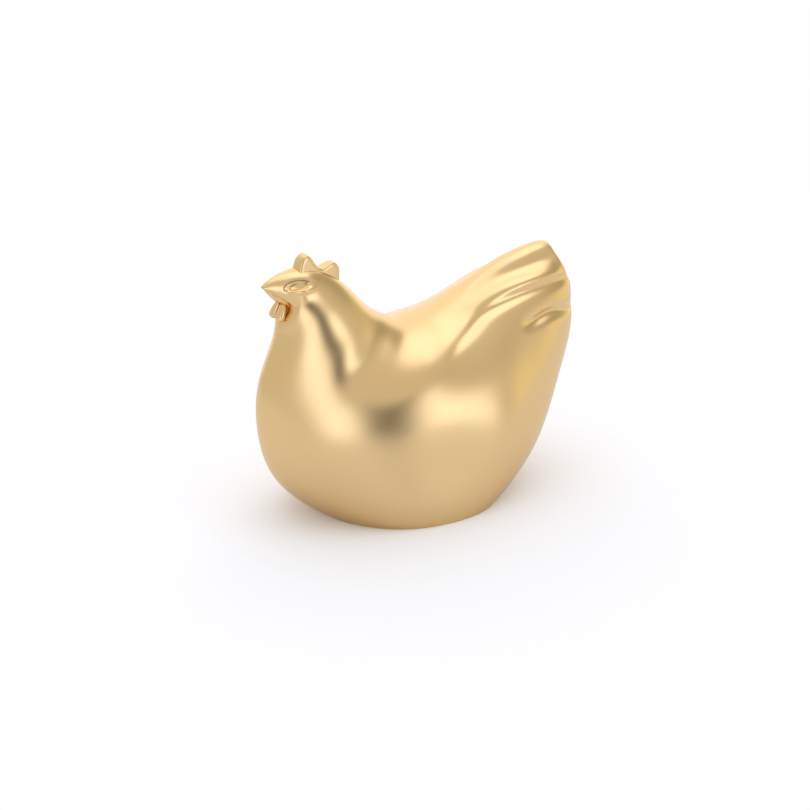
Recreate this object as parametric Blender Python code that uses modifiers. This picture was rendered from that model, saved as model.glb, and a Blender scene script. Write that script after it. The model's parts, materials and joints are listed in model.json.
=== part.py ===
"""Hen figurine: one hollow slip-cast hen, plated in satin gold.

The bill points along -X, the tail along +X and the hen stands on Z = 0.
Sizes are in millimetres and are turned into metres when a mesh is made.
"""
import bpy
import numpy as np
from math import cos, pi, radians, sin

MM = 0.001

# Main sizes. The place of everything on the hen is given in hundredths of them:
# x from the middle of the length, y from the middle of the width, z from the foot.
LENGTH = 164.7
WIDTH = 87.2
HEIGHT = 127.9

# Body sections from bill to tail, each a loop between a point on the crest line and one on the
# belly line: crest (x, z), belly (x, z), half width, fullness low down, squareness low down
SECTIONS = (
    ((-47.96, 91.34), (-47.42, 89.53), 1.91, 0.00, 0.000),
    ((-44.49, 93.77), (-43.96, 84.49), 5.13, 0.05, -0.001),
    ((-37.24, 95.32), (-41.27, 82.00), 10.26, 0.03, -0.001),
    ((-29.75, 92.94), (-41.75, 77.59), 13.50, -0.02, 0.003),
    ((-22.90, 85.92), (-43.69, 71.63), 17.98, -0.17, -0.006),
    ((-16.57, 76.96), (-46.89, 62.27), 21.07, -0.30, 0.008),
    ((-10.32, 71.65), (-49.91, 47.63), 27.75, -0.28, 0.004),
    ((-6.05, 69.06), (-48.51, 28.56), 33.92, -0.06, -0.005),
    ((-0.49, 68.85), (-41.38, 10.09), 41.11, 0.03, 0.039),
    ((2.61, 69.45), (-22.30, -6.45), 49.39, 0.13, 0.174),
    ((6.90, 71.10), (1.06, -12.67), 51.56, 0.24, 0.187),
    ((13.01, 74.47), (21.12, -2.02), 46.16, 0.25, 0.076),
    ((20.44, 79.33), (34.17, 13.36), 35.98, 0.25, 0.068),
    ((29.14, 83.95), (44.67, 36.26), 24.70, 0.18, 0.009),
    ((37.93, 86.60), (49.44, 51.69), 16.32, 0.12, -0.010),
    ((41.41, 86.84), (49.99, 65.33), 11.07, 0.07, -0.007),
)
BILL_ROUND = 1.1
TAIL_ROUND = 3.4

# Folds pressed into both sides: points (x, y, z, depth) and reach. Depth and reach are in
# millimetres, and a negative depth raises the surface.
NECK_VALLEY = ((
    (-9.18, 0.00, 71.15, 0.2),
    (-15.26, 18.35, 70.75, 2.2),
    (-20.12, 29.24, 67.24, 3.9),
    (-24.37, 33.25, 63.33, 4.0),
    (-28.61, 34.97, 59.81, 2.6),
    (-33.47, 33.83, 56.29, 0.6),
), 8.0)
SHOULDER = ((
    (9.65, 25.23, 66.45, -0.6),
    (-0.06, 34.41, 62.55, -1.4),
    (-9.80, 41.28, 57.85, -1.8),
    (-18.29, 45.88, 53.17, -1.4),
    (-26.79, 47.02, 46.13, -0.4),
), 10.0)
UPPER_FLUTE = ((
    (13.28, 9.64, 72.00, 0.1),
    (21.69, 8.93, 78.15, 0.9),
    (26.83, 9.34, 80.36, 1.3),
    (32.10, 9.54, 81.57, 1.4),
    (37.89, 8.73, 82.68, 1.3),
    (43.11, 7.31, 82.88, 0.9),
), 3.6)
RIDGE = ((
    (13.51, 12.39, 72.22, -0.1),
    (19.63, 12.46, 75.22, -0.6),
    (25.55, 13.22, 77.32, -0.9),
    (31.72, 13.41, 78.74, -0.9),
    (38.17, 12.86, 79.20, -0.8),
    (42.72, 11.98, 78.51, -0.3),
), 3.0)
LONG_FLUTE = ((
    (0.54, 33.11, 59.01, 0.1),
    (6.46, 26.47, 63.12, 0.6),
    (10.95, 23.04, 65.93, 1.0),
    (15.17, 20.03, 68.95, 1.2),
    (19.53, 19.19, 70.76, 1.3),
    (23.74, 18.90, 72.07, 1.4),
    (32.29, 18.12, 73.84, 1.4),
    (41.73, 15.11, 74.45, 1.3),
    (47.11, 9.63, 73.92, 0.6),
), 1.8)
SHORT_FLUTE = ((
    (26.59, 26.69, 62.94, 0.3),
    (30.88, 25.34, 63.67, 1.6),
    (34.82, 23.56, 64.69, 2.0),
    (39.94, 20.95, 64.71, 1.9),
    (44.35, 17.65, 63.23, 1.5),
    (48.58, 10.14, 62.94, 0.7),
), 2.2)
EYE = ((
    (-42.15, 7.13, 89.71, 0.4),
    (-40.88, 8.00, 90.59, 2.0),
    (-39.07, 9.15, 91.03, 2.5),
    (-37.18, 10.02, 91.06, 2.0),
    (-35.76, 10.36, 90.96, 0.4),
), 1.8)
EYELID = ((
    (-41.52, 8.01, 88.64, -0.2),
    (-39.84, 9.67, 88.86, -0.7),
    (-38.08, 10.95, 89.00, -0.8),
    (-36.14, 11.61, 89.15, -0.6),
    (-34.39, 11.91, 89.04, -0.1),
), 1.3)
MOUTH = ((
    (-47.95, 1.84, 90.13, 0.3),
    (-46.42, 2.78, 88.72, 0.9),
    (-44.91, 3.75, 87.36, 1.1),
    (-43.34, 4.58, 85.82, 1.0),
    (-41.41, 5.16, 83.62, 0.4),
), 0.9)
FOLDS = (NECK_VALLEY, SHOULDER, UPPER_FLUTE, RIDGE, LONG_FLUTE, SHORT_FLUTE, EYELID, EYE, MOUTH)

# Comb outline in side view (x, z), front foot first
COMB_OUTLINE = (
    (-37.11, 87.18), (-37.92, 92.65), (-37.42, 96.56), (-36.58, 98.85), (-35.07, 100.00),
    (-33.81, 99.00), (-32.44, 96.32), (-30.61, 94.14), (-28.68, 94.76), (-26.86, 95.39),
    (-25.28, 93.83), (-25.04, 90.30), (-25.89, 86.00), (-29.54, 83.65),
)
COMB_FRONT_THICKNESS = 10.8
COMB_REAR_THICKNESS = 6.0
COMB_THIN_AT_TOP = 0.62
COMB_EDGE_ROUND = 1.3

# Wattles: a pair of drops that hang from the bill against the throat
WATTLE_RADIUS = 2.5
WATTLE_LENGTH = 8.4
WATTLE_CENTRE = (-42.61, 3.51, 79.46)

# Underside and inside
FOOT_RECESS_LENGTH = 0.40 * LENGTH
FOOT_RECESS_WIDTH = 0.66 * WIDTH
FOOT_RECESS_DEPTH = 2.0
WALL = 5.0
VENT_RADIUS = 5.0
CAVITY_START = 0.36
CAVITY_END = 0.82

# Rows of points from bill to tail, and points round each row
RINGS = 66
RING_POINTS = 60
CAVITY_RINGS = 24
CAVITY_RING_POINTS = 32


def spline(knots, values, at):
    """Curve through all values with an even bend, at rest at both ends."""
    count = len(knots)
    step = np.diff(knots)
    matrix = np.eye(count)
    right = np.zeros((count, values.shape[1]))
    for i in range(1, count - 1):
        matrix[i, i - 1:i + 2] = step[i - 1], 2 * (step[i - 1] + step[i]), step[i]
        right[i] = 6 * ((values[i + 1] - values[i]) / step[i] - (values[i] - values[i - 1]) / step[i - 1])
    bend = np.linalg.solve(matrix, right)
    k = np.clip(np.searchsorted(knots, at, side="right") - 1, 0, count - 2)
    width = step[k][:, None]
    before = (at - knots[k])[:, None]
    after = (knots[k + 1] - at)[:, None]
    curve = (bend[k] * after ** 3 + bend[k + 1] * before ** 3) / (6 * width)
    curve += (values[k] / width - bend[k] * width / 6) * after
    curve += (values[k + 1] / width - bend[k + 1] * width / 6) * before
    return curve


def sections_along(start, end, count):
    """Body sections between two places along the hen, 0 at the bill and 1 at the tail."""
    rows = np.array([[*crest, *belly, *rest] for crest, belly, *rest in SECTIONS])
    rows[:, :5] *= np.array([LENGTH, HEIGHT, LENGTH, HEIGHT, WIDTH]) / 100
    crest_step = np.hypot(*np.diff(rows[:, 0:2], axis=0).T)
    belly_step = np.hypot(*np.diff(rows[:, 2:4], axis=0).T)
    knots = np.concatenate([[0.0], np.cumsum(np.sqrt((crest_step + belly_step) / 2))])
    even = np.linspace(start, end, count)
    closer_at_ends = even - 0.5 * np.sin(2 * pi * even) / (2 * pi)
    return spline(knots / knots[-1], rows, closer_at_ends)


def ring(section, points):
    """Loop of points round one section, from the crest down one side and up the other."""
    crest_x, crest_z, belly_x, belly_z, half_width, fullness, squareness = section
    angle = np.linspace(0, 2 * pi, points, endpoint=False)
    down = (1 - np.cos(angle)) / 2
    side = np.sin(angle) - fullness * np.sin(angle) * np.cos(angle) + squareness * down * np.sin(3 * angle)
    x = crest_x + (belly_x - crest_x) * down
    z = crest_z + (belly_z - crest_z) * down
    return np.stack([x, -half_width * side, z], axis=1)


def rounded_end(section, neighbour, radius, steps):
    """Sections that close an end with a round of the given radius."""
    crest_way = (section[:2] - neighbour[:2]) / np.hypot(*(section[:2] - neighbour[:2]))
    belly_way = (section[2:4] - neighbour[2:4]) / np.hypot(*(section[2:4] - neighbour[2:4]))
    opening = section[2:4] - section[:2] + (belly_way - crest_way) * radius
    inset = min(radius / np.hypot(*opening), 0.45) * opening
    closing = []
    for step in range(1, steps + 1):
        turn = pi / 2 * step / steps
        row = section.copy()
        row[:2] += crest_way * radius * sin(turn) + inset * (1 - cos(turn))
        row[2:4] += belly_way * radius * sin(turn) - inset * (1 - cos(turn))
        row[4] = section[4] * cos(turn)
        closing.append(row)
    return closing


def outward_normals(grid):
    along = np.gradient(grid, axis=0)
    around = np.roll(grid, -1, axis=1) - np.roll(grid, 1, axis=1)
    normal = np.cross(around, along)
    return normal / np.maximum(np.linalg.norm(normal, axis=2, keepdims=True), 1e-9)


def press_fold(grid, path, reach):
    """Push the surface in along a soft path, the same on both sides."""
    path = np.array(path) * (LENGTH / 100, WIDTH / 100, HEIGHT / 100, 1)
    length = np.concatenate([[0.0], np.cumsum(np.linalg.norm(np.diff(path[:, :3], axis=0), axis=1))])
    count = int(length[-1] / (0.35 * reach)) + 2
    spacing = length[-1] / (count - 1)
    depth = np.zeros(grid.shape[:2])
    for x, y, z, amount in spline(length / length[-1], path, np.linspace(0, 1, count)):
        far = (grid[..., 0] - x) ** 2 + (np.abs(grid[..., 1]) - y) ** 2 + (grid[..., 2] - z) ** 2
        depth += amount * np.exp(-far / reach ** 2)
    depth *= spacing / (reach * np.sqrt(pi))
    return grid - outward_normals(grid) * depth[..., None]


def flatten_below(grid, level, edge_round):
    """Lay everything under a level flat on it, with a rounded edge."""
    height = grid[..., 2] - level
    edge = (height + edge_round) ** 2 / (4 * edge_round)
    grid[..., 2] = level + np.where(height > edge_round, height, np.where(height < -edge_round, 0.0, edge))
    return grid


def hen_grid(rings, points):
    """Rows of points over the whole outside, bill to tail."""
    rows = list(sections_along(0.0, 1.0, rings))
    bill = rounded_end(rows[0], rows[1], BILL_ROUND, 3)
    tail = rounded_end(rows[-1], rows[-2], TAIL_ROUND, 5)
    grid = np.array([ring(row, points) for row in bill[::-1] + rows + tail])
    for path, reach in FOLDS:
        grid = press_fold(grid, path, reach)
    return grid


def cavity_grid(rings, points):
    """Inside of the casting: the outside moved in by the wall, from neck to tail root."""
    rows = sections_along(CAVITY_START, CAVITY_END, rings)
    grid = np.array([ring(row, points) for row in rows])
    for path, reach in (NECK_VALLEY, SHOULDER):
        grid = press_fold(grid, path, reach)
    grid = grid - outward_normals(grid) * WALL
    return flatten_below(grid, FOOT_RECESS_DEPTH + WALL, WALL)


def mesh_from_grid(name, grid, seam_at_tail):
    """Closed mesh over rows of points, with a pole at the bill and a seam or pole at the tail."""
    rings, points = grid.shape[:2]
    half = points // 2
    first = grid[0].mean(axis=0)
    vertices = [first] + [point for row in grid[1:-1] for point in row]
    faces = []
    for k in range(points):
        faces.append((0, 1 + (k + 1) % points, 1 + k))
    for i in range(rings - 3):
        low = 1 + i * points
        for k in range(points):
            near = (k + 1) % points
            faces.append((low + k, low + near, low + points + near, low + points + k))
    base = 1 + (rings - 3) * points
    if seam_at_tail:
        seam = len(vertices)
        vertices += [grid[-1][k] * (1, 0, 1) for k in range(half + 1)]
        place = [seam + min(k, points - k) for k in range(points)]
    else:
        place = [len(vertices)] * points
        vertices.append(grid[-1].mean(axis=0))
    for k in range(points):
        near = (k + 1) % points
        corners = [base + k, base + near, place[near], place[k]]
        faces.append(tuple(dict.fromkeys(corners)))
    mesh = bpy.data.meshes.new(name)
    mesh.from_pydata([tuple(np.array(v) * MM) for v in vertices], [], faces)
    mesh.validate()
    mesh.shade_smooth()
    return mesh


def add_object(name, data, collection):
    thing = bpy.data.objects.new(name, data)
    collection.objects.link(thing)
    return thing


def add_guide(name, data, collection):
    thing = add_object(name, data, collection)
    thing.hide_render = True
    thing.display_type = "WIRE"
    return thing


def comb_taper(back, rise):
    """Thickness of the comb as a share of its front root, back and rise running from 0 to 1."""
    return (1 + (COMB_REAR_THICKNESS / COMB_FRONT_THICKNESS - 1) * back) * (1 + (COMB_THIN_AT_TOP - 1) * rise)


def comb_mesh():
    """Upright plate from its side outline, thinner towards the back and the tips."""
    curve = bpy.data.curves.new("comb_outline", "CURVE")
    curve.dimensions = "2D"
    curve.fill_mode = "BOTH"
    curve.extrude = (COMB_FRONT_THICKNESS / 2 - COMB_EDGE_ROUND) * MM
    curve.bevel_depth = COMB_EDGE_ROUND * MM
    curve.bevel_resolution = 1
    curve.offset = -COMB_EDGE_ROUND * MM
    curve.resolution_u = 3
    outline = curve.splines.new("BEZIER")
    outline.bezier_points.add(len(COMB_OUTLINE) - 1)
    for point, (x, z) in zip(outline.bezier_points, COMB_OUTLINE):
        point.co = (x * LENGTH / 100 * MM, z * HEIGHT / 100 * MM, 0)
        point.handle_left_type = "AUTO"
        point.handle_right_type = "AUTO"
    outline.use_cyclic_u = True
    holder = bpy.data.objects.new("comb_outline", curve)
    bpy.context.collection.objects.link(holder)
    bpy.context.view_layer.update()
    graph = bpy.context.evaluated_depsgraph_get()
    mesh = bpy.data.meshes.new_from_object(holder.evaluated_get(graph))
    bpy.data.objects.remove(holder)
    bpy.data.curves.remove(curve)
    front, root = (min(vertex.co[axis] for vertex in mesh.vertices) for axis in (0, 1))
    rear, tip = (max(vertex.co[axis] for vertex in mesh.vertices) for axis in (0, 1))
    for vertex in mesh.vertices:
        x, z, y = vertex.co
        vertex.co = (x, y * comb_taper((x - front) / (rear - front), (z - root) / (tip - root)), z)
    mesh.flip_normals()
    return mesh


def wattle_profile():
    """Half section of a drop, round below and drawn out to a stem above."""
    profile = []
    for step in range(9):
        turn = pi * step / 8
        stem = max(0.0, -cos(turn))
        radius = WATTLE_RADIUS * sin(turn) ** (1 - 0.4 * stem)
        height = -WATTLE_RADIUS * cos(turn) + stem * (WATTLE_LENGTH - 2 * WATTLE_RADIUS)
        profile.append((radius * MM, 0, height * MM))
    mesh = bpy.data.meshes.new("wattle")
    mesh.from_pydata(profile, [(step, step + 1) for step in range(8)], [])
    return mesh


def turn_round(thing, sides):
    turning = thing.modifiers.new("turned", "SCREW")
    turning.steps = sides
    turning.render_steps = sides
    turning.use_merge_vertices = True
    turning.merge_threshold = 0.00001
    turning.use_normal_calculate = True


def join_or_cut(target, tool, operation):
    step = target.modifiers.new(tool.name, "BOOLEAN")
    step.operation = operation
    step.solver = "EXACT"
    step.object = tool


def satin_gold():
    """Electroplated gold over glazed ceramic, satin not mirror bright."""
    material = bpy.data.materials.new("satin gold electroplate")
    material.use_nodes = True
    shader = material.node_tree.nodes["Principled BSDF"]
    shader.inputs["Base Color"].default_value = (0.83, 0.61, 0.30, 1)
    shader.inputs["Metallic"].default_value = 1.0
    shader.inputs["Roughness"].default_value = 0.28
    return material


def main():
    for thing in list(bpy.data.objects):
        bpy.data.objects.remove(thing)
    scene = bpy.context.scene
    scene.unit_settings.system = "METRIC"
    product = bpy.data.collections.new("Hen figurine")
    guides = bpy.data.collections.new("Guides")
    scene.collection.children.link(product)
    scene.collection.children.link(guides)

    hen = add_object("hen", mesh_from_grid("hen", hen_grid(RINGS, RING_POINTS), True), product)
    hen.data.materials.append(satin_gold())

    comb = add_guide("comb", comb_mesh(), guides)
    join_or_cut(hen, comb, "UNION")

    x, y, z = WATTLE_CENTRE
    for side, name in ((-1, "wattle_near"), (1, "wattle_far")):
        wattle = add_guide(name, wattle_profile(), guides)
        wattle.location = (x * LENGTH / 100 * MM, side * y * WIDTH / 100 * MM, z * HEIGHT / 100 * MM)
        wattle.rotation_euler = (side * radians(8), radians(-10), 0)
        turn_round(wattle, 14)
        join_or_cut(hen, wattle, "UNION")

    inside = mesh_from_grid("cavity", cavity_grid(CAVITY_RINGS, CAVITY_RING_POINTS), False)
    join_or_cut(hen, add_guide("cavity", inside, guides), "DIFFERENCE")

    bpy.ops.mesh.primitive_cube_add(size=1)
    ground = bpy.context.object
    ground.name = "foot_plane"
    ground.scale = (LENGTH * 1.2 * MM, WIDTH * 1.5 * MM, HEIGHT * 0.3 * MM)
    ground.location = (0, 0, -ground.scale.z / 2)

    bpy.ops.mesh.primitive_cylinder_add(vertices=48, radius=0.5, depth=FOOT_RECESS_DEPTH * 2 * MM)
    recess = bpy.context.object
    recess.name = "foot_recess"
    recess.scale = (FOOT_RECESS_LENGTH * MM, FOOT_RECESS_WIDTH * MM, 1)
    recess.location = (-0.045 * LENGTH * MM, 0, 0)

    bpy.ops.mesh.primitive_cylinder_add(vertices=24, radius=VENT_RADIUS * MM, depth=4 * WALL * MM)
    vent = bpy.context.object
    vent.name = "vent_hole"
    vent.location = recess.location

    for cutter in (ground, recess, vent):
        for holder in list(cutter.users_collection):
            holder.objects.unlink(cutter)
        guides.objects.link(cutter)
        cutter.hide_render = True
        cutter.display_type = "WIRE"
        join_or_cut(hen, cutter, "DIFFERENCE")


main()
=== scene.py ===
"""Hen figurine in satin gold, one hollow casting on a pale floor in a soft studio.

The bill points along -X, the tail along +X and the hen stands on Z = 0.
"""
import bpy
import json
import numpy as np
from math import cos, pi, radians, sin
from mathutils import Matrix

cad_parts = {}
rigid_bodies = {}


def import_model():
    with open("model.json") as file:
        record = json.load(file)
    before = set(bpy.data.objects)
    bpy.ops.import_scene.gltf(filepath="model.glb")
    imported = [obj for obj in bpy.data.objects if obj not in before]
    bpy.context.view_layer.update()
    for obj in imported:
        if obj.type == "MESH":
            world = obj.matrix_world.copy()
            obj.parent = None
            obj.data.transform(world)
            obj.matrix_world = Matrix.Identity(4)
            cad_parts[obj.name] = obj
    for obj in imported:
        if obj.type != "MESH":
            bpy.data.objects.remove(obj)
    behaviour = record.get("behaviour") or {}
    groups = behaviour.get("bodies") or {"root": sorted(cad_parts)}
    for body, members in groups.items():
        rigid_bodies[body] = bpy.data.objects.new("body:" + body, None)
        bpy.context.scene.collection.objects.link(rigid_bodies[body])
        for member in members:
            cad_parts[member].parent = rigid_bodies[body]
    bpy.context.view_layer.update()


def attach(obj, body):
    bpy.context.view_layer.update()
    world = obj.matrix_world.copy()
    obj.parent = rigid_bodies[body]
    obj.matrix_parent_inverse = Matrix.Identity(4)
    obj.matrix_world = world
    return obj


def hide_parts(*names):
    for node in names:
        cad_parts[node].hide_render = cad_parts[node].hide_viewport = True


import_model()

MM = 0.001

# Main sizes in millimetres. The place of everything on the hen is given in hundredths of them:
# x from the middle of the length, y from the middle of the width, z from the foot.
LENGTH = 164.7
WIDTH = 87.2
HEIGHT = 127.9

# Body sections from bill to tail, each a loop between a point on the crest line and one on the
# belly line: crest (x, z), belly (x, z), half width, fullness low down, squareness low down
SECTIONS = (
    ((-47.96, 91.34), (-47.42, 89.53), 1.91, 0.00, 0.000),
    ((-44.49, 93.77), (-43.96, 84.49), 5.13, 0.05, -0.001),
    ((-37.24, 95.32), (-41.27, 82.00), 10.26, 0.03, -0.001),
    ((-30.14, 93.29), (-43.05, 77.63), 11.83, 0.05, 0.005),
    ((-22.92, 85.97), (-44.17, 71.47), 15.29, -0.07, -0.028),
    ((-16.53, 76.92), (-47.14, 61.98), 19.00, -0.19, -0.025),
    ((-10.16, 71.52), (-50.01, 47.40), 24.94, -0.20, -0.005),
    ((-6.00, 69.17), (-48.60, 28.44), 32.08, -0.03, -0.007),
    ((-0.40, 69.16), (-41.59, 10.36), 40.21, 0.05, 0.047),
    ((2.70, 69.73), (-22.67, -6.18), 49.16, 0.19, 0.178),
    ((6.90, 71.10), (1.06, -12.67), 51.56, 0.24, 0.187),
    ((13.01, 74.47), (21.12, -2.02), 46.16, 0.25, 0.076),
    ((20.44, 79.33), (34.17, 13.36), 35.98, 0.25, 0.068),
    ((29.14, 83.95), (44.67, 36.26), 24.70, 0.18, 0.009),
    ((37.93, 86.60), (49.44, 51.69), 16.32, 0.12, -0.010),
    ((41.41, 86.84), (49.99, 65.33), 11.07, 0.07, -0.007),
)
BILL_ROUND = 1.1
BILL_ROUND_ROWS = 3
TAIL_ROUND = 3.4
TAIL_ROUND_ROWS = 5

# Folds pressed into both sides: points (x, y, z, depth) and reach. Depth and reach are in
# millimetres, and a negative depth raises the surface.
NECK_VALLEY = ((
    (-9.18, 0.00, 71.15, 0.2),
    (-15.26, 18.35, 70.75, 2.2),
    (-20.12, 29.24, 67.24, 3.9),
    (-24.37, 33.25, 63.33, 4.0),
    (-28.61, 34.97, 59.81, 2.6),
    (-33.47, 33.83, 56.29, 0.6),
), 8.0)
SHOULDER = ((
    (9.65, 25.23, 66.45, -0.6),
    (-0.06, 34.41, 62.55, -1.4),
    (-9.80, 41.28, 57.85, -1.8),
    (-18.29, 45.88, 53.17, -1.4),
    (-26.79, 47.02, 46.13, -0.4),
), 10.0)
UPPER_FLUTE = ((
    (13.60, 9.64, 71.80, 0.1),
    (21.70, 8.93, 77.80, 1.0),
    (26.83, 9.34, 79.90, 1.6),
    (32.10, 9.54, 81.10, 1.8),
    (37.89, 8.73, 82.20, 1.7),
    (43.11, 7.31, 82.40, 1.1),
), 4.0)
RIDGE = ((
    (13.51, 13.40, 70.60, -0.2),
    (19.64, 14.00, 73.40, -0.8),
    (25.55, 14.90, 75.30, -1.2),
    (31.72, 15.20, 76.60, -1.3),
    (38.18, 14.60, 77.00, -1.2),
    (42.73, 13.40, 76.70, -0.6),
), 3.0)
LONG_FLUTE = ((
    (0.54, 33.11, 59.01, 0.1),
    (6.46, 26.47, 63.12, 0.6),
    (10.95, 23.04, 65.93, 1.0),
    (15.17, 20.03, 68.95, 1.2),
    (19.53, 19.19, 70.76, 1.3),
    (23.74, 18.90, 72.07, 1.4),
    (32.29, 18.12, 73.84, 1.4),
    (41.73, 15.11, 74.45, 1.3),
    (47.11, 9.63, 73.92, 0.6),
), 2.6)
SHORT_FLUTE = ((
    (26.59, 26.69, 62.94, 0.3),
    (30.88, 25.34, 63.67, 2.0),
    (34.82, 23.56, 64.69, 2.7),
    (39.94, 20.95, 64.71, 2.5),
    (44.35, 17.65, 63.23, 1.5),
    (48.58, 10.14, 62.94, 0.7),
), 2.7)
BROW = ((
    (-42.20, 6.50, 90.60, 0.3),
    (-41.00, 7.20, 91.40, 1.1),
    (-39.30, 8.10, 91.80, 1.5),
    (-37.50, 8.80, 91.80, 1.2),
    (-36.00, 9.20, 91.60, 0.3),
), 1.8)
EYE = ((
    (-42.50, 6.76, 90.01, 0.4),
    (-41.39, 7.70, 90.39, 1.3),
    (-40.15, 8.70, 90.61, 1.4),
    (-38.85, 9.49, 90.80, 1.4),
    (-37.43, 9.83, 91.00, 1.2),
    (-35.81, 9.51, 91.26, 0.3),
), 1.2)
EYELID = ((
    (-41.97, 7.51, 89.19, -0.2),
    (-40.05, 9.36, 89.40, -0.6),
    (-37.97, 10.62, 89.46, -0.7),
    (-35.83, 10.58, 89.47, -0.4),
    (-34.18, 10.15, 89.51, -0.1),
), 1.2)
MOUTH = ((
    (-47.95, 1.20, 89.90, 0.3),
    (-46.42, 2.78, 88.75, 0.7),
    (-44.91, 3.75, 87.36, 0.8),
    (-43.34, 4.58, 85.82, 0.7),
    (-41.41, 5.16, 83.80, 0.3),
), 0.8)
FOLDS = (
    NECK_VALLEY, SHOULDER, UPPER_FLUTE, RIDGE, LONG_FLUTE, SHORT_FLUTE, BROW, EYE, EYELID, MOUTH,
)

# Spacing of the presses along a fold, as a share of its reach
FOLD_STEP = 0.35

# Comb outline in side view (x, z), front foot first
COMB_OUTLINE = (
    (-37.11, 87.18), (-37.92, 92.65), (-37.42, 96.56), (-36.58, 98.85), (-35.07, 100.00),
    (-33.81, 99.00), (-32.44, 96.32), (-30.61, 94.14), (-28.68, 94.76), (-26.86, 95.39),
    (-25.28, 93.83), (-25.04, 90.30), (-25.89, 86.00), (-29.54, 83.65),
)

# Comb thickness at the root in front and at the rear, the share of it left at the top, the round
# of its edges, and the grain and passes that smooth it
COMB_FRONT_THICKNESS = 10.8
COMB_REAR_THICKNESS = 6.0
COMB_THIN_AT_TOP = 0.62
COMB_EDGE_ROUND = 1.3
COMB_GRAIN = 0.3
COMB_SMOOTHING_PASSES = 30

# Wattles: a pair of drops that hang from the bill against the throat, splayed and leant by
# angles in degrees, drawn in to a stem above
WATTLE_RADIUS = 2.2
WATTLE_LENGTH = 8.6
WATTLE_CENTRE = (-43.70, 3.40, 79.30)
WATTLE_STEM_TAPER = 0.4
WATTLE_SPLAY = 8
WATTLE_LEAN = 22
WATTLE_ROWS = 32
WATTLE_SIDES = 48

# Underside and inside. The block takes off all that reaches below the foot, and the cavity starts
# and ends at shares of the way from bill to tail.
FOOT_BLOCK = (LENGTH * 1.2, WIDTH * 1.5, HEIGHT * 0.3)
FOOT_MIDDLE = -0.045 * LENGTH
FOOT_RECESS_LENGTH = 0.40 * LENGTH
FOOT_RECESS_WIDTH = 0.66 * WIDTH
FOOT_RECESS_DEPTH = 2.0
WALL = 5.0
VENT_RADIUS = 5.0
CAVITY_START = 0.36
CAVITY_END = 0.82

# Rows of points from bill to tail, how much closer the rows lie at both ends, and points round
# each row
RINGS = 320
END_CLOSENESS = 0.5
RING_POINTS = 260
CAVITY_RINGS = 40
CAVITY_RING_POINTS = 48

# Angle between two faces, in degrees, from which their edge is sharp
SHARP_FROM = 40

# Looks: colours in sRGB, the floor's own glow as the camera sees it, sizes of the stage in metres
# and angles in degrees
GOLD = "F2CE93"
GOLD_ROUGHNESS = 0.25
FLOOR_SEEN = "FFFFFF"
FLOOR_MIRRORED = "EDEFF4"
FLOOR_LIFT = 0.08
FLOOR_ROUGHNESS = 0.9
FLOOR_RADIUS = 0.45
CAMERA_PLACE = (-0.5462, -0.9355, 0.5240)
CAMERA_TILT = 66
CAMERA_TURN = -30
CAMERA_LENS = 112.5

# Light of the room, and soft boxes in it: left and right edge and low and high edge in degrees,
# seen from the hen, 0 towards the camera; softness of the edges; colour times strength
ROOM = (0.70, 0.70, 0.70)
LIGHTS = (
    (-200, 200, 64, 91, 1, 10, (1.20, 1.24, 1.36)),
    (58, 200, 54, 91, 12, 9, (1.50, 1.55, 1.75)),
    (-200, -115, 54, 91, 12, 9, (1.35, 1.38, 1.55)),
    (130, 200, -20, 60, 12, 12, (1.15, 1.13, 1.15)),
    (-200, -130, -20, 60, 12, 12, (1.15, 1.13, 1.15)),
    (56, 135, 16, 30, 12, 8, (0.60, 0.60, 0.58)),
    (88, 135, 14, 50, 16, 10, (0.46, 0.45, 0.37)),
    (86, 135, -25, 8, 8, 8, (0.92, 0.90, 0.66)),
    (-6, 20, -14, 16, 9, 8, (1.45, 1.56, 1.90)),
    (24, 41, -10, 15, 4, 5, (0.0, 0.0, 0.0)),
    (45, 61, -15, 12, 7, 7, (1.75, 1.88, 2.25)),
)


def spline(knots, values, at):
    """Curve through all values with an even bend, at rest at both ends."""
    count = len(knots)
    step = np.diff(knots)
    matrix = np.eye(count)
    right = np.zeros((count, values.shape[1]))
    for i in range(1, count - 1):
        matrix[i, i - 1:i + 2] = step[i - 1], 2 * (step[i - 1] + step[i]), step[i]
        slope_after = (values[i + 1] - values[i]) / step[i]
        slope_before = (values[i] - values[i - 1]) / step[i - 1]
        right[i] = 6 * (slope_after - slope_before)
    bend = np.linalg.solve(matrix, right)
    k = np.clip(np.searchsorted(knots, at, side="right") - 1, 0, count - 2)
    width = step[k][:, None]
    before = (at - knots[k])[:, None]
    after = (knots[k + 1] - at)[:, None]
    curve = (bend[k] * after ** 3 + bend[k + 1] * before ** 3) / (6 * width)
    curve += (values[k] / width - bend[k] * width / 6) * after
    curve += (values[k + 1] / width - bend[k + 1] * width / 6) * before
    return curve


def sections_along(start, end, count):
    """Body sections between two places along the hen, 0 at the bill and 1 at the tail."""
    rows = np.array([[*crest, *belly, *rest] for crest, belly, *rest in SECTIONS])
    rows[:, :5] *= np.array([LENGTH, HEIGHT, LENGTH, HEIGHT, WIDTH]) / 100
    crest_step = np.hypot(*np.diff(rows[:, 0:2], axis=0).T)
    belly_step = np.hypot(*np.diff(rows[:, 2:4], axis=0).T)
    knots = np.concatenate([[0.0], np.cumsum(np.sqrt((crest_step + belly_step) / 2))])
    even = np.linspace(start, end, count)
    closer_at_ends = even - END_CLOSENESS * np.sin(2 * pi * even) / (2 * pi)
    return spline(knots / knots[-1], rows, closer_at_ends)


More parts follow.
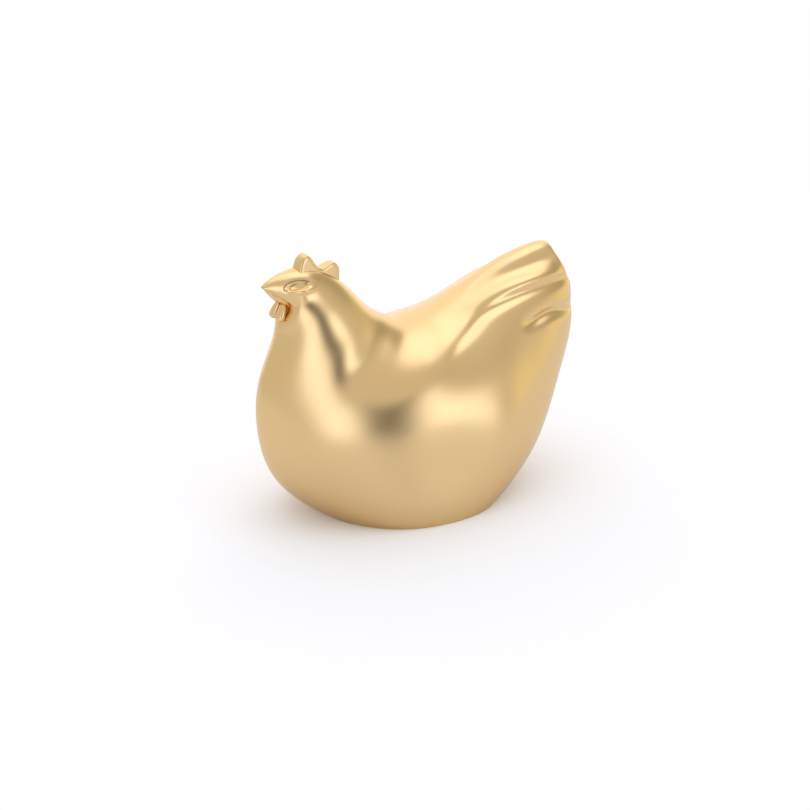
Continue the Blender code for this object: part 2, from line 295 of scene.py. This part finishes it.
def ring(section, points):
    """Loop of points round one section, from the crest down one side and up the other."""
    crest_x, crest_z, belly_x, belly_z, half_width, fullness, squareness = section
    angle = np.linspace(0, 2 * pi, points, endpoint=False)
    down = (1 - np.cos(angle)) / 2
    side = np.sin(angle) - fullness * np.sin(angle) * np.cos(angle)
    side = side + squareness * down * np.sin(3 * angle)
    x = crest_x + (belly_x - crest_x) * down
    z = crest_z + (belly_z - crest_z) * down
    return np.stack([x, -half_width * side, z], axis=1)


def rounded_end(section, neighbour, radius, steps):
    """Sections that close an end with a round of the given radius."""
    crest_way = (section[:2] - neighbour[:2]) / np.hypot(*(section[:2] - neighbour[:2]))
    belly_way = (section[2:4] - neighbour[2:4]) / np.hypot(*(section[2:4] - neighbour[2:4]))
    opening = section[2:4] - section[:2] + (belly_way - crest_way) * radius
    inset = min(radius / np.hypot(*opening), 0.45) * opening
    closing = []
    for step in range(1, steps + 1):
        turn = pi / 2 * step / steps
        row = section.copy()
        row[:2] += crest_way * radius * sin(turn) + inset * (1 - cos(turn))
        row[2:4] += belly_way * radius * sin(turn) - inset * (1 - cos(turn))
        row[4] = section[4] * cos(turn)
        closing.append(row)
    return closing


def outward_normals(grid):
    """Direction straight out of the surface at each point."""
    along = np.gradient(grid, axis=0)
    around = np.roll(grid, -1, axis=1) - np.roll(grid, 1, axis=1)
    normal = np.cross(around, along)
    return normal / np.maximum(np.linalg.norm(normal, axis=2, keepdims=True), 1e-9)


def press_fold(grid, path, reach):
    """Push the surface in along a soft path, the same on both sides."""
    path = np.array(path) * (LENGTH / 100, WIDTH / 100, HEIGHT / 100, 1)
    steps = np.linalg.norm(np.diff(path[:, :3], axis=0), axis=1)
    length = np.concatenate([[0.0], np.cumsum(steps)])
    count = int(length[-1] / (FOLD_STEP * reach)) + 2
    spacing = length[-1] / (count - 1)
    depth = np.zeros(grid.shape[:2])
    across = np.abs(grid[..., 1])
    for x, y, z, amount in spline(length / length[-1], path, np.linspace(0, 1, count)):
        far = (grid[..., 0] - x) ** 2 + (across - y) ** 2 + (grid[..., 2] - z) ** 2
        depth += amount * np.exp(-far / reach ** 2)
    depth *= spacing / (reach * np.sqrt(pi))
    return grid - outward_normals(grid) * depth[..., None]


def flatten_below(grid, level, edge_round):
    """Lay everything under a level flat on it, with a rounded edge."""
    height = grid[..., 2] - level
    edge = (height + edge_round) ** 2 / (4 * edge_round)
    edge_or_flat = np.where(height < -edge_round, 0.0, edge)
    grid[..., 2] = level + np.where(height > edge_round, height, edge_or_flat)
    return grid


def hen_grid(rings, points):
    """Rows of points over the whole outside, bill to tail."""
    rows = list(sections_along(0.0, 1.0, rings))
    bill = rounded_end(rows[0], rows[1], BILL_ROUND, BILL_ROUND_ROWS)
    tail = rounded_end(rows[-1], rows[-2], TAIL_ROUND, TAIL_ROUND_ROWS)
    grid = np.array([ring(row, points) for row in bill[::-1] + rows + tail])
    for path, reach in FOLDS:
        grid = press_fold(grid, path, reach)
    return grid


def cavity_grid(rings, points):
    """Inside of the casting: the outside moved in by the wall, from neck to tail root."""
    rows = sections_along(CAVITY_START, CAVITY_END, rings)
    grid = np.array([ring(row, points) for row in rows])
    for path, reach in (NECK_VALLEY, SHOULDER):
        grid = press_fold(grid, path, reach)
    grid = grid - outward_normals(grid) * WALL
    return flatten_below(grid, FOOT_RECESS_DEPTH + WALL, WALL)


def mesh_from_grid(name, grid, seam_at_tail):
    """Closed mesh over rows of points, with a pole at the bill and a seam or pole at the tail."""
    rings, points = grid.shape[:2]
    half = points // 2
    first = grid[0].mean(axis=0)
    vertices = [first] + [point for row in grid[1:-1] for point in row]
    faces = []
    for k in range(points):
        faces.append((0, 1 + (k + 1) % points, 1 + k))
    for i in range(rings - 3):
        low = 1 + i * points
        for k in range(points):
            near = (k + 1) % points
            faces.append((low + k, low + near, low + points + near, low + points + k))
    base = 1 + (rings - 3) * points
    if seam_at_tail:
        seam = len(vertices)
        vertices += [grid[-1][k] * (1, 0, 1) for k in range(half + 1)]
        place = [seam + min(k, points - k) for k in range(points)]
    else:
        place = [len(vertices)] * points
        vertices.append(grid[-1].mean(axis=0))
    for k in range(points):
        near = (k + 1) % points
        corners = [base + k, base + near, place[near], place[k]]
        faces.append(tuple(dict.fromkeys(corners)))
    mesh = bpy.data.meshes.new(name)
    mesh.from_pydata([tuple(np.array(v) * MM) for v in vertices], [], faces)
    mesh.validate()
    mesh.shade_smooth()
    return mesh


def add_object(name, data, collection):
    """New object with the given data, linked to the collection."""
    thing = bpy.data.objects.new(name, data)
    collection.objects.link(thing)
    return thing


def comb_taper(back, rise):
    """Thickness of the comb as a share of its front root, back and rise running from 0 to 1."""
    towards_rear = 1 + (COMB_REAR_THICKNESS / COMB_FRONT_THICKNESS - 1) * back
    towards_top = 1 + (COMB_THIN_AT_TOP - 1) * rise
    return towards_rear * towards_top


def plate_from_outline(outline, thickness, edge_round):
    """Closed upright plate from a soft outline in side view."""
    curve = bpy.data.curves.new("outline", "CURVE")
    curve.dimensions = "2D"
    curve.fill_mode = "BOTH"
    curve.extrude = (thickness / 2 - edge_round) * MM
    curve.bevel_depth = edge_round * MM
    curve.bevel_resolution = 4
    curve.offset = -edge_round * MM
    curve.resolution_u = 20
    line = curve.splines.new("BEZIER")
    line.bezier_points.add(len(outline) - 1)
    for point, (x, z) in zip(line.bezier_points, outline):
        point.co = (x * LENGTH / 100 * MM, z * HEIGHT / 100 * MM, 0)
        point.handle_left_type = "AUTO"
        point.handle_right_type = "AUTO"
    line.use_cyclic_u = True
    plate = add_object("outline", curve, bpy.context.collection)
    plate.rotation_euler = (radians(90), 0, 0)
    return plate


def plain_mesh(thing):
    """The object's finished mesh, with its modifiers, in the place it stands."""
    bpy.context.view_layer.update()
    graph = bpy.context.evaluated_depsgraph_get()
    mesh = bpy.data.meshes.new_from_object(thing.evaluated_get(graph))
    mesh.transform(thing.matrix_world)
    bpy.data.objects.remove(thing)
    return mesh


def comb_mesh():
    """Comb: a plate with soft rounded edges, thick at the root and thin at the tips."""
    plate = plate_from_outline(COMB_OUTLINE, COMB_FRONT_THICKNESS, COMB_EDGE_ROUND)
    comb = add_object("comb", plain_mesh(plate), bpy.context.collection)
    remesh = comb.modifiers.new("even", "REMESH")
    remesh.mode = "VOXEL"
    remesh.voxel_size = COMB_GRAIN * MM
    soft = comb.modifiers.new("soft", "SMOOTH")
    soft.factor = 0.5
    soft.iterations = COMB_SMOOTHING_PASSES
    mesh = plain_mesh(comb)
    places = np.zeros(len(mesh.vertices) * 3)
    mesh.vertices.foreach_get("co", places)
    places = places.reshape(-1, 3)
    low = places.min(axis=0)
    share = (places - low) / (places.max(axis=0) - low)
    places[:, 1] *= comb_taper(share[:, 0], share[:, 2])
    mesh.vertices.foreach_set("co", places.ravel())
    return mesh


def wattle_mesh(side):
    """Drop turned about its own length, round below and drawn out to a stem above."""
    profile = []
    for step in range(WATTLE_ROWS + 1):
        turn = pi * step / WATTLE_ROWS
        stem = max(0.0, -cos(turn))
        radius = WATTLE_RADIUS * sin(turn) ** (1 - WATTLE_STEM_TAPER * stem)
        height = -WATTLE_RADIUS * cos(turn) + stem * (WATTLE_LENGTH - 2 * WATTLE_RADIUS)
        profile.append((radius * MM, 0, height * MM))
    mesh = bpy.data.meshes.new("wattle")
    mesh.from_pydata(profile, [(step, step + 1) for step in range(WATTLE_ROWS)], [])
    wattle = add_object("wattle", mesh, bpy.context.collection)
    x, y, z = WATTLE_CENTRE
    wattle.location = (x * LENGTH / 100 * MM, side * y * WIDTH / 100 * MM, z * HEIGHT / 100 * MM)
    wattle.rotation_euler = (side * radians(WATTLE_SPLAY), radians(WATTLE_LEAN), 0)
    turning = wattle.modifiers.new("turned", "SCREW")
    turning.steps = WATTLE_SIDES
    turning.render_steps = WATTLE_SIDES
    turning.use_merge_vertices = True
    turning.merge_threshold = 0.000001
    turning.use_normal_calculate = True
    return plain_mesh(wattle)


def primitive(operator, name, location, scale, **settings):
    """Simple solid made by one of Blender's own operators."""
    operator(**settings)
    thing = bpy.context.object
    thing.name = name
    thing.location = location
    thing.scale = scale
    return thing


def join_or_cut(target, tool, operation):
    """Join a tool to the target, or cut the target with it."""
    step = target.modifiers.new(tool.name, "BOOLEAN")
    step.operation = operation
    step.solver = "EXACT"
    step.object = tool


def hen_mesh():
    """The whole casting: body, comb and wattles in one, hollow, with a recessed foot and a vent."""
    scratch = bpy.context.collection
    outside = mesh_from_grid("casting", hen_grid(RINGS, RING_POINTS), True)
    hen = add_object("casting", outside, scratch)
    tools = [add_object("comb", comb_mesh(), scratch)]
    tools.append(add_object("wattle_near", wattle_mesh(-1), scratch))
    tools.append(add_object("wattle_far", wattle_mesh(1), scratch))
    for tool in tools:
        join_or_cut(hen, tool, "UNION")
    inside = mesh_from_grid("cavity", cavity_grid(CAVITY_RINGS, CAVITY_RING_POINTS), False)
    cutters = [add_object("cavity", inside, scratch)]
    block_length, block_width, block_depth = FOOT_BLOCK
    cutters.append(primitive(
        bpy.ops.mesh.primitive_cube_add, "foot_plane", (0, 0, -block_depth * MM / 2),
        (block_length * MM, block_width * MM, block_depth * MM), size=1,
    ))
    middle = (FOOT_MIDDLE * MM, 0, 0)
    cutters.append(primitive(
        bpy.ops.mesh.primitive_cylinder_add, "foot_recess", middle,
        (FOOT_RECESS_LENGTH * MM, FOOT_RECESS_WIDTH * MM, 1),
        vertices=160, radius=0.5, depth=FOOT_RECESS_DEPTH * 2 * MM,
    ))
    cutters.append(primitive(
        bpy.ops.mesh.primitive_cylinder_add, "vent_hole", middle, (1, 1, 1),
        vertices=64, radius=VENT_RADIUS * MM, depth=4 * WALL * MM,
    ))
    for cutter in cutters:
        join_or_cut(hen, cutter, "DIFFERENCE")
    mesh = plain_mesh(hen)
    for tool in tools + cutters:
        bpy.data.objects.remove(tool)
    return mesh


def linear(hex_colour):
    """sRGB hex colour turned linear, with full alpha."""
    shares = [int(hex_colour[i:i + 2], 16) / 255 for i in (0, 2, 4)]
    return tuple(c / 12.92 if c <= 0.04045 else ((c + 0.055) / 1.055) ** 2.4 for c in shares) + (1,)


def add(tree, kind, *sources, **settings):
    """Add a node; each source is a value or an output for the node's next input."""
    node = tree.nodes.new(kind)
    for name, value in settings.items():
        setattr(node, name, value)
    for socket, source in zip(node.inputs, sources):
        if isinstance(source, bpy.types.NodeSocket):
            tree.links.new(source, socket)
        elif source is not None:
            socket.default_value = source
    return node


def product(tree, first, second):
    """Two values multiplied."""
    return add(tree, "ShaderNodeMath", first, second, operation="MULTIPLY").outputs[0]


def blend(tree, share, first, second):
    """Colour between two others, the first at share 0 and the second at share 1."""
    other_kinds = [None] * 5
    mix = add(tree, "ShaderNodeMix", share, *other_kinds, first, second, data_type="RGBA")
    return mix.outputs[2]


def satin_gold():
    """Satin gold electroplate: warm gold that blurs what it mirrors into soft bands."""
    material = bpy.data.materials.new("satin gold electroplate")
    material.use_nodes = True
    shader = material.node_tree.nodes["Principled BSDF"]
    shader.inputs["Base Color"].default_value = linear(GOLD)
    shader.inputs["Metallic"].default_value = 1.0
    shader.inputs["Roughness"].default_value = GOLD_ROUGHNESS
    return material


def pale_floor():
    """Matt white table: clean white to the eye, with the hen's soft shadow on it."""
    material = bpy.data.materials.new("matt white paint")
    material.use_nodes = True
    tree = material.node_tree
    shader = tree.nodes["Principled BSDF"]
    shader.inputs["Roughness"].default_value = FLOOR_ROUGHNESS
    shader.inputs["Specular IOR Level"].default_value = 0.0
    seen = add(tree, "ShaderNodeLightPath").outputs["Is Camera Ray"]
    shade = blend(tree, seen, linear(FLOOR_MIRRORED), linear(FLOOR_SEEN))
    tree.links.new(shade, shader.inputs["Base Color"])
    shader.inputs["Emission Color"].default_value = (1, 1, 1, 1)
    tree.links.new(product(tree, seen, FLOOR_LIFT), shader.inputs["Emission Strength"])
    return material


def soft_box(tree, azimuth, elevation, edges, softness):
    """Share of a soft box in the direction looked at, 1 well inside its edges and 0 outside."""
    left, right, low, high = edges
    soft_x, soft_z = softness
    share = None
    for angle, edge, soft, way in (
        (azimuth, left, soft_x, 1), (azimuth, right, soft_x, -1),
        (elevation, low, soft_z, 1), (elevation, high, soft_z, -1),
    ):
        outer = radians(edge - way * soft)
        inner = radians(edge + way * soft)
        step = add(
            tree, "ShaderNodeMapRange", angle, outer, inner, 0.0, 1.0,
            interpolation_type="SMOOTHSTEP",
        ).outputs[0]
        share = step if share is None else product(tree, share, step)
    return share


def studio_world():
    """Soft boxes round the hen, seen only in what it mirrors; the camera sees plain white."""
    world = bpy.data.worlds.new("studio")
    world.use_nodes = True
    tree = world.node_tree
    tree.nodes.clear()
    direction = add(tree, "ShaderNodeTexCoord").outputs["Generated"]
    turned = add(
        tree, "ShaderNodeVectorRotate", direction, None, None, radians(-CAMERA_TURN),
        rotation_type="Z_AXIS",
    )
    x, y, z = add(tree, "ShaderNodeSeparateXYZ", turned.outputs[0]).outputs
    toward = product(tree, y, -1.0)
    azimuth = add(tree, "ShaderNodeMath", x, toward, operation="ARCTAN2").outputs[0]
    elevation = add(tree, "ShaderNodeMath", z, operation="ARCSINE").outputs[0]
    room = add(tree, "ShaderNodeRGB")
    room.outputs[0].default_value = (*ROOM, 1)
    light = room.outputs[0]
    for left, right, low, high, soft_x, soft_z, colour in LIGHTS:
        share = soft_box(tree, azimuth, elevation, (left, right, low, high), (soft_x, soft_z))
        light = blend(tree, share, light, (*colour, 1))
    studio = add(tree, "ShaderNodeBackground", light, 1.0)
    white = add(tree, "ShaderNodeBackground", (1, 1, 1, 1), 1.0)
    seen = add(tree, "ShaderNodeLightPath").outputs["Is Camera Ray"]
    choice = add(tree, "ShaderNodeMixShader", seen, studio.outputs[0], white.outputs[0])
    add(tree, "ShaderNodeOutputWorld", choice.outputs[0])
    bpy.context.scene.world = world


def camera():
    """Long lens from the hen's left front, a little above it."""
    data = bpy.data.cameras.new("camera")
    data.lens = CAMERA_LENS
    data.sensor_width = 36
    data.clip_start = 0.05
    data.clip_end = 20
    thing = add_object("camera", data, bpy.context.scene.collection)
    thing.location = CAMERA_PLACE
    thing.rotation_euler = (radians(CAMERA_TILT), 0, radians(CAMERA_TURN))
    bpy.context.scene.camera = thing


for thing in list(bpy.context.scene.objects):
    if thing.type in {"CAMERA", "LIGHT"}:
        bpy.data.objects.remove(thing)

hen = add_object("hen_casting", hen_mesh(), bpy.context.scene.collection)
hen.data.materials.clear()
hen.data.materials.append(satin_gold())
hen.data.shade_smooth()
hen.data.set_sharp_from_angle(angle=radians(SHARP_FROM))
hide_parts("hen")
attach(hen, "root")

bpy.ops.mesh.primitive_circle_add(vertices=128, radius=FLOOR_RADIUS, fill_type="NGON")
floor = bpy.context.object
floor.name = "floor"
floor.data.materials.append(pale_floor())

studio_world()
camera()
bpy.context.scene.view_settings.view_transform = "Standard"
